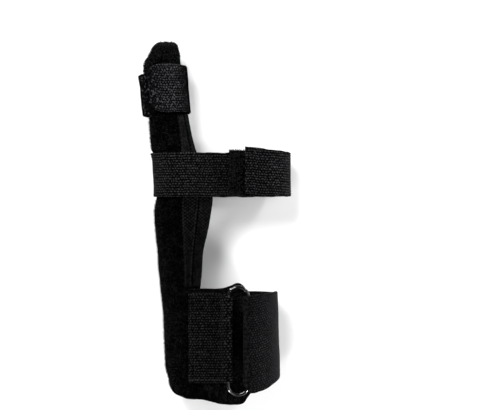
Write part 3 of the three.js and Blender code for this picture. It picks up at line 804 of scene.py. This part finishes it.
def ribbed_elastic(name, dark, light, hem_from=None):
    """Woven elastic: cords run along it, bound by threads across, so each cord shows a row of uneven loops
    set half a step from those of its neighbours, brighter in the stout cords at its sides, with specks of
    lint. hem_from: distance up it, in mm, past which it is a dark hem."""
    n = Nodes(name)
    cord, loop, chance = n.rows(RIB_PITCH, LOOP_PITCH)
    lift = n.math("MULTIPLY", cord, n.math("ADD", n.math("MULTIPLY", loop, 0.95), 0.05))
    fuzz = n.math("MULTIPLY", n.speckle(n.place(), 1 / 0.7, 1.5, 1.0), 0.15)
    share = n.math("MULTIPLY", lift, n.math("ADD", n.math("MULTIPLY", chance, 0.6), 0.65))
    sides = n.math("ADD", n.math("MULTIPLY", n.worn(2.4), 0.15), 1.0)
    share = n.math("MULTIPLY", n.math("ADD", share, fuzz), sides)
    if hem_from:
        share = n.math("MULTIPLY", share, n.fade(n.up(), hem_from, hem_from + 0.6, 1.0, 0.5))
    lint = n.speckle(n.place(), 1 / 0.9, 160.0, 1.0)
    share = n.math("ADD", share, lint)
    color = n.ramp(share, 0.15, 0.95, grey(dark), grey(light))
    normal = n.bump(lift, 0.14, 0.6, n.bump(n.noise(n.place(), 0.9, 3.0, 0.7), 0.15, 0.4))
    return n.finish(color, normal, 0.7, 0.006, sheen=0.0005, sheen_roughness=0.4)


# Distances along the fingertip strap, in mm, between which the glints of its first layer are lost.
GLINTS_TO, PLAIN_FROM = 9.0, 14.0


def nylon_knit(name, dark, light, size, glints, lit_stretch=None):
    """Fine nylon face knit: small loops of uneven brightness, and a few that glint.
    lit_stretch: the stretch along the strap, in mm, left at full brightness; the rest is painted darker, as
    the shade on its sides and underneath, where the neighbouring finger and the turn of the strap keep light
    off, and plain under the finger."""
    n = Nodes(name)
    place = n.place()
    cord, loop, chance = n.rows(size, size)
    loops = n.math("MULTIPLY", cord, loop)
    stray = n.noise(place, 0.2, 3.0, 0.6)
    share = n.math("MULTIPLY", loops, n.math("ADD", n.math("MULTIPLY", chance, 0.5), 0.7))
    share = n.math("ADD", share, n.math("MULTIPLY", n.math("SUBTRACT", stray, 0.3), 0.1))
    share = n.math("ADD", share, n.math("MULTIPLY", n.worn(1.0), 0.06))
    shine = 0.009
    # Painted shade: outside the lit stretch the loops are painted darker, fading in over 12 mm and out over 9
    # mm.
    if lit_stretch:
        start, end = lit_stretch
        along = n.along()
        shine = n.fade(along, start - 12, start, 0.0, shine)
        rise = n.fade(along, start - 12, start, 0.15, 1.0)
        fall = n.fade(along, end, end + 9, 1.0, 0.2)
        share = n.math("MULTIPLY", share, n.math("MULTIPLY", rise, fall))
        top = n.fade(along, GLINTS_TO, PLAIN_FROM, 1.0, 0.1)
        glints = n.math("MULTIPLY", n.math("MAXIMUM", top, rise), glints)
    share = n.math("ADD", share, n.math("MULTIPLY", n.speckle(place, 1 / 0.8, 24.0, 1.0), glints))
    color = n.ramp(share, 0.0, 1.0, grey(dark), grey(light, 1.1))
    normal = n.bump(loops, 0.1, 0.4, n.bump(stray, 0.35, 0.5))
    return n.finish(color, normal, 0.55, shine, sheen=0.0005, sheen_roughness=0.35)


def thread(name, shade):
    """Twisted thread, darker in the twists."""
    n = Nodes(name)
    twist = n.noise(n.place(), 2.0, 2.0)
    color = n.ramp(twist, 0.3, 0.7, grey(shade * 0.5), grey(shade * 1.6))
    return n.finish(color, n.bump(twist, 0.08, 0.8), 0.7, 0.04)


def nickel(name):
    """Dark plated wire, darkened further as a painted reflection of a dark room, a little dulled by handling.
    """
    n = Nodes(name)
    place = n.place()
    smear = n.noise(place, 0.25, 3.0, 0.6)
    marks = n.noise(place, 3.5, 3.0, 0.7)
    # Partly painted reflection: the plate is dark, and its colour is darker still, as if it mirrored a dark
    # room.
    color = n.ramp(smear, 0.3, 0.7, (0.035, 0.035, 0.036), (0.075, 0.075, 0.077))
    rough = n.fade(smear, 0.3, 0.7, 0.03, 0.08)
    return n.finish(color, n.bump(marks, 0.015, 0.5), rough, 0.5, metallic=1.0)


LOOP = brushed_loop("brushed_loop_cloth", dark=0.0002, light=0.0037, size=1.2, knots=(0.08, 0.9))
# The patch is painted darker near the palm strap's free end, as its shadow.
PATCH_LOOP = brushed_loop(
    "loop_patch_pile", dark=0.0002, light=0.0068, size=1.2, painted_shade_to=14, knots=(1.0, 1.0)
)
CUFF_CLOTH = brushed_loop("cuff_knit", dark=0.0006, light=0.009, size=0.8)
FIBRE = thread("loop_fibre", 0.012)
TAPE = woven_tape("stay_tape", dark=0.0003, light=0.0078)
BAND = woven_tape("edge_band_tape", dark=0.0003, light=0.0071)
PALM_ELASTIC = ribbed_elastic("palm_elastic", dark=0.0003, light=0.0213)
WRIST_ELASTIC = ribbed_elastic("wrist_elastic_web", dark=0.0004, light=0.0163, hem_from=53.4)
STRAP_KNIT = nylon_knit("wrist_strap_knit", dark=0.0008, light=0.0115, size=1.45, glints=0.6)
# The fingertip strap is painted darker outside 73 mm to 9 mm short of its end, as shade on its sides and
# underneath.
FINGER_KNIT = nylon_knit(
    "finger_strap_knit", dark=0.0006, light=0.032, size=1.5, glints=3.5, lit_stretch=(73, FINGER_STRAP.length - 9)
)
THREAD = thread("sewing_thread", 0.005)
PALE_THREAD = thread("edge_thread", 0.011)
NICKEL = nickel("ring_nickel")


# Reliefs in mm, of the distance along the curve, the height y, the distance up the wall and its height.
def ribs(depth, selvedge=0.0):
    """Cords along the web, with two stouter ones at each edge."""

    def relief(along, y, up, height):
        edge = np.minimum(up, height - up)
        stout = np.where(edge < 2.5 * RIB_PITCH, selvedge, 0.0)
        return (depth + stout) * (np.abs(np.cos(math.pi * up / RIB_PITCH)) - 0.6)

    return relief


def foam(depth, size, seed):
    """Soft lumps of that depth and size."""

    def relief(along, y, up, height):
        return depth * waves(np.stack([along, y], -1), (size, 3 * size), 7, seed)

    return relief


# Pieces
body_wall = Wall(
    BODY,
    body_ends,
    BODY.length,
    BODY_WALL,
    side=-1,
    columns=110,
    rows=270,
    relief=foam(0.22, 16, 3),
    inner_relief=foam(0.2, 16, 4),
    roll=1.5,
    wander=0.15,
)
body = dress(body_wall.mesh("gutter_body_cloth", LOOP), "brushed_loop", "gutter_body")


STRIP_WIDTH = 7.0  # nominal, for the cloth's map and the rolled edges


def tape_wall(left, right):
    """A strip on the body's palm face between two lines x(y)."""

    def at(y, f):
        return over_palm_face(y, right(y) + (left(y) - right(y)) * f, GAP)

    def ends(f):
        return {"low": TAPE_LOW + 0 * f, "high": TAPE_HIGH + 0 * f}

    return Wall(at, ends, STRIP_WIDTH, TAPE_WALL, side=1, columns=30, rows=220)


stay_wall = tape_wall(lambda y: tape_edges(y)["left"], lambda y: tape_edges(y)["right"])
stay = dress(stay_wall.mesh("stay_pocket_tape", TAPE), "woven_tape", "stay_pocket")
band_wall = tape_wall(
    lambda y: tape_edges(y)["right"] + BAND_SPACE, lambda y: body_size(y)["edge"] - BAND_INSET
)
band = dress(band_wall.mesh("palm_edge_band_tape", BAND), "woven_tape", "palm_edge_band")

finger_wall = Wall(
    FINGER_STRAP,
    finger_strap_edges,
    FINGER_STRAP.length,
    FINGER_STRAP_WALL,
    side=1,
    columns=150,
    rows=60,
    relief=foam(0.16, 7, 5),
    wander=0.2,
)
finger = dress(finger_wall.mesh("fingertip_strap_cloth", FINGER_KNIT), "nylon_strap", "fingertip_strap")

palm_wall = Wall(
    PALM_STRAP,
    palm_strap_edges,
    PALM_STRAP.length,
    PALM_STRAP_WALL,
    side=1,
    columns=240,
    rows=132,
    relief=ribs(0.18, 0.14),
    inner_relief=ribs(0.18, 0.14),
    roll=0.6,
    wander=0.15,
)
palm = dress(palm_wall.mesh("palm_strap_web", PALM_ELASTIC), "ribbed_elastic", "palm_strap")


def patch_at(y, f):
    x = PATCH_RIGHT + (PATCH_LEFT - PATCH_RIGHT) * f
    z = palm_layer(y, x) + PALM_STRAP_WALL + GAP
    return np.stack([x, z], -1), np.stack([0 * x, 1 + 0 * x], -1)


def patch_ends(f):
    return {"low": PATCH_LOW + 0 * f, "high": PATCH_HIGH + 0 * f}


patch_wall = Wall(
    patch_at,
    patch_ends,
    PATCH_RIGHT - PATCH_LEFT,
    PATCH_WALL,
    side=1,
    columns=50,
    rows=60,
    relief=foam(0.12, 4, 6),
    wander=0.2,
)
patch = dress(patch_wall.mesh("palm_loop_patch_pile", PATCH_LOOP), "brushed_loop", "palm_loop_patch")


def cuff_at(y, f):
    x = CUFF_RIGHT + (CUFF_LEFT - CUFF_RIGHT) * f
    z = CUFF_CROWN - CUFF_FALL * (x - CUFF_CROWN_X) ** 2
    return np.stack([x, z], -1), np.stack([0 * x, 1 + 0 * x], -1)


GATHERS_TOP, GATHERS_RIGHT, GATHERS_PITCH, GATHERS_DEPTH, GATHERS_SINK = -97.0, 12.0, 4.6, 1.1, 0.7


def cuff_gathers(along, y, up, height):
    """Uneven folds below the elastic, lost towards the top and the right."""
    x = CUFF_RIGHT - along
    fade = np.clip((GATHERS_TOP - y) / 7, 0, 1) ** 1.5
    folds = np.sin(2 * math.pi * x / GATHERS_PITCH + 0.8 * np.sin(x / 3.1))
    folds *= np.clip((GATHERS_RIGHT - x) / 6, 0, 1)
    return GATHERS_DEPTH * fade * folds - GATHERS_SINK * fade


cuff_wall = Wall(
    cuff_at,
    lambda f: cuff_ends(CUFF_RIGHT + (CUFF_LEFT - CUFF_RIGHT) * f),
    CUFF_RIGHT - CUFF_LEFT,
    CUFF_WALL,
    side=-1,
    columns=80,
    rows=110,
    relief=cuff_gathers,
    wander=0.15,
)
cuff = dress(cuff_wall.mesh("wrist_cuff_cloth", CUFF_CLOTH), "cuff_cloth", "wrist_cuff")

elastic_wall = Wall(
    ELASTIC,
    elastic_edges,
    ELASTIC.length,
    ELASTIC_WALL,
    side=1,
    columns=90,
    rows=236,
    relief=ribs(0.15, 0.1),
    inner_relief=ribs(0.1),
    roll=0.5,
)
elastic = dress(elastic_wall.mesh("wrist_elastic_web", WRIST_ELASTIC), "ribbed_elastic", "wrist_elastic")

strap_wall = Wall(
    WRIST_STRAP,
    strap_edges,
    WRIST_STRAP.length,
    WRIST_STRAP_WALL,
    side=-1,
    columns=170,
    rows=70,
    inner_relief=foam(0.25, 20, 8),
)
strap = dress(strap_wall.mesh("wrist_strap_cloth", STRAP_KNIT), "nylon_strap", "wrist_strap")


def ring_wire():
    """Round wire along a stadium line."""
    left, right = -RING_HALF_WIDTH + RING_CORNER, RING_HALF_WIDTH - RING_CORNER
    low, high = RING_BOTTOM + RING_CORNER, RING_TOP - RING_CORNER
    corners = [(right, high, 0), (left, high, 1), (left, low, 2), (right, low, 3)]
    arcs = [
        ellipse(x, y, RING_CORNER, RING_CORNER, k * QUARTER, (k + 1) * QUARTER, 24) for x, y, k in corners
    ]
    bars = [line(arcs[k][-1], arcs[(k + 1) % 4][0], 14)[1:-1] for k in range(4)]
    path = np.concatenate([part for k in range(4) for part in (arcs[k], bars[k])])
    along = np.roll(path, -1, 0) - np.roll(path, 1, 0)
    along /= np.linalg.norm(along, axis=1, keepdims=True)
    sides = 28
    turn = np.linspace(0, 2 * math.pi, sides, endpoint=False)
    away, up = np.cos(turn) * RING_WIRE / 2, np.sin(turn) * RING_WIRE / 2
    x = RING_X + path[:, :1] + along[:, 1:] * away
    y = path[:, 1:] - along[:, :1] * away
    points = np.stack([x, y, RING_Z + up + 0 * x], -1)
    number = np.arange(len(path) * sides).reshape(len(path), sides)
    after = np.roll(number, -1, 0)
    faces = np.stack([number, after, np.roll(after, -1, 1), np.roll(number, -1, 1)], -1).reshape(-1, 4)
    return new_object("wrist_ring_wire", points.reshape(-1, 3), faces, NICKEL)


dress(ring_wire(), "ring_metal", "wrist_ring")


# Nap of the brushed cloth, left out under the strips and straps and where the body lies on the floor, and
# thinner below the fingertip. In mm: z of the palm side and of the floor's reach, and stretches of y.
BODY_FIBRES, PATCH_FIBRES = 26000, 2600
PALM_SIDE, FLOOR_REACH, TIP_FROM, THINNED = 20, 1.5, 90, 0.55
ELASTIC_STRETCH, PALM_STRETCH, FINGER_STRETCH = (-98, -39), (14, 44), (66, 89)
FREE_END_SHADE = 2.7


def within(y, stretch):
    return (y > stretch[0]) & (y < stretch[1])


def body_nap():
    rng = np.random.default_rng(21)
    f, v = rng.random(BODY_FIBRES), rng.random(BODY_FIBRES)
    roots, normals, _ = body_wall.surface(f, v)
    x, y, z = roots.T
    palm_side = z > PALM_SIDE
    under_tape = palm_side & within(y, (TAPE_LOW, TAPE_HIGH)) & (x > tape_edges(y)["left"] - 0.3)
    under_elastic = palm_side & within(y, ELASTIC_STRETCH) & (x > ELASTIC_SEAM - 0.5)
    under_straps = within(y, PALM_STRETCH) | within(y, FINGER_STRETCH)
    keep = ~(under_tape | under_elastic | under_straps | (z < FLOOR_REACH))
    keep &= (y > TIP_FROM) | (rng.random(len(y)) < THINNED)
    return roots[keep], normals[keep]


def rim_nap(wall, count, seed, v_from):
    """Fibres pointing up past the upper edge of a wall."""
    rng = np.random.default_rng(seed)
    roots, normals, _ = wall.surface(rng.random(count), rng.uniform(v_from, 1.0, count))
    out = normals * rng.uniform(0.1, 1.0, (count, 1)) + np.array([0.0, 1.0, 0.0])
    return roots, out / np.linalg.norm(out, axis=1, keepdims=True)


roots, normals = body_nap()
rim_roots, rim_normals = rim_nap(body_wall, 900, 22, 0.985)
dress(
    nap("gutter_body_nap", np.r_[roots, rim_roots], np.r_[normals, rim_normals], 1.0, 0.09, 23, FIBRE),
    "brushed_loop",
)
rng = np.random.default_rng(31)
roots, normals, _ = patch_wall.surface(rng.random(PATCH_FIBRES), rng.random(PATCH_FIBRES))
in_view = roots[:, 0] < PALM_FREE_END - FREE_END_SHADE
roots, normals = roots[in_view], normals[in_view]
rim_roots, rim_normals = rim_nap(patch_wall, 420, 32, 0.97)
dress(
    nap("palm_loop_patch_nap", np.r_[roots, rim_roots], np.r_[normals, rim_normals], 0.9, 0.09, 33, FIBRE),
    "brushed_loop",
)


# Seams
ELASTIC_SEAM_LINES = (-42.2, -93.8)


def seam(wall, f, v):
    """Points and normals along a line of shares on a wall's outer face."""
    f, v = np.broadcast_arrays(np.asarray(f, float), np.asarray(v, float))
    points, normals, _ = wall.surface(f.copy(), v.copy())
    return points, normals


up = np.linspace(0.01, 0.99, 240)
tape_y = TAPE_LOW + (TAPE_HIGH - TAPE_LOW) * up
tape_width = tape_edges(tape_y)["right"] - tape_edges(tape_y)["left"]
band_width = body_size(tape_y)["edge"] - BAND_INSET - tape_edges(tape_y)["right"] - BAND_SPACE
dress(
    stitches(
        "strip_stitches",
        [
            seam(stay_wall, 0.8 / tape_width, up),
            seam(stay_wall, 1 - 0.8 / tape_width, up),
            seam(band_wall, 0.9 / band_width, up),
        ],
        THREAD,
    ),
    "woven_tape",
)
along = np.linspace(0.62, 0.985, 120)
edges = elastic_edges(along)
dress(
    stitches(
        "elastic_stitches",
        [
            seam(elastic_wall, along, (y - edges["low"]) / (edges["high"] - edges["low"]))
            for y in ELASTIC_SEAM_LINES
        ],
        PALE_THREAD,
        spacing=2.0,
        length=1.7,
        radius=0.22,
    ),
    "ribbed_elastic",
)
across = np.linspace(0.03, 0.97, 120)
dress(
    stitches(
        "elastic_end_stitches",
        [seam(elastic_wall, 0.975, across), seam(elastic_wall, 0.935, across)],
        THREAD,
    ),
    "ribbed_elastic",
)


# Floor, light and camera
FLOOR_HALF, FLOOR_DROP = 3000.0, 0.05


def floor():
    n = Nodes("floor_paper")
    tone = n.noise(n.place(), 0.02, 3.0)
    color = n.ramp(tone, 0.2, 0.8, (0.9, 0.9, 0.9), (0.93, 0.93, 0.93))
    material = n.finish(color, n.bump(tone, 0.05, 0.1), 0.9, 0.1)
    corners = [(x * FLOOR_HALF, y * FLOOR_HALF, -FLOOR_DROP) for x, y in ((-1, -1), (1, -1), (1, 1), (-1, 1))]
    ground = new_object("floor", np.array(corners) - SHIFT, [(0, 1, 2, 3)], material)


floor()
world = bpy.data.worlds.new("studio")
bpy.context.scene.world = world
world.use_nodes = True
background = world.node_tree.nodes["Background"]
background.inputs["Color"].default_value = (1.0, 1.0, 1.0, 1.0)
background.inputs["Strength"].default_value = 0.2


def lamp(name, place, aim, size, power):
    """A round soft lamp; place, aim and size in metres, power in watts."""
    light = bpy.data.lights.new(name, "AREA")
    light.shape, light.size, light.energy = "DISK", size, power
    made = bpy.data.objects.new(name, light)
    bpy.context.scene.collection.objects.link(made)
    made.location = place
    made.rotation_euler = (Vector(aim) - Vector(place)).to_track_quat("-Z", "Y").to_euler()
    made.visible_camera = False


lamp("key_soft", (-0.45, 0.8, 1.2), aim=(0, 0, 0), size=0.6, power=19)
lamp("fill_soft", (0.9, 0.1, 1.1), aim=(0, 0, 0), size=0.8, power=6)
lamp("near_soft", (-0.5, -0.9, 1.1), aim=(0, 0, 0), size=0.8, power=5)
SIDE_DISTANCE, SIDE_HEIGHT = 1.2, 0.14
for degrees, power in ((45, 25), (135, 13), (225, 13), (315, 25)):
    turn = math.radians(degrees)
    place = (SIDE_DISTANCE * math.cos(turn), SIDE_DISTANCE * math.sin(turn), SIDE_HEIGHT)
    lamp(f"side_soft_{degrees}", place, aim=(0, 0, 0.02), size=0.24, power=power)

# The photograph's frame in pixels, the pixel at the origin of these sizes, and the scale on the palm side.
PHOTO_WIDTH, PHOTO_HEIGHT = 480, 410
ORIGIN_X_PX, ORIGIN_Y_PX = 215.5, 222.5
MM_PER_PIXEL, PALM_HEIGHT, CAMERA_HEIGHT = 0.607, 30.0, 1000.0
PHOTO_MIDDLE = (
    (PHOTO_WIDTH / 2 - ORIGIN_X_PX) * MM_PER_PIXEL,
    (ORIGIN_Y_PX - PHOTO_HEIGHT / 2) * MM_PER_PIXEL,
)
SENSOR = 36.0
camera_data = bpy.data.cameras.new("camera")
camera_data.sensor_width = SENSOR
camera_data.lens = SENSOR * (CAMERA_HEIGHT - PALM_HEIGHT) / (PHOTO_WIDTH * MM_PER_PIXEL)
camera_data.clip_start, camera_data.clip_end = 0.01, 20.0
camera = bpy.data.objects.new("camera", camera_data)
bpy.context.scene.collection.objects.link(camera)
camera.location = [(v + s) * MM for v, s in zip((*PHOTO_MIDDLE, CAMERA_HEIGHT), SHIFT)]
bpy.context.scene.camera = camera
bpy.context.scene.view_settings.view_transform = "Standard"
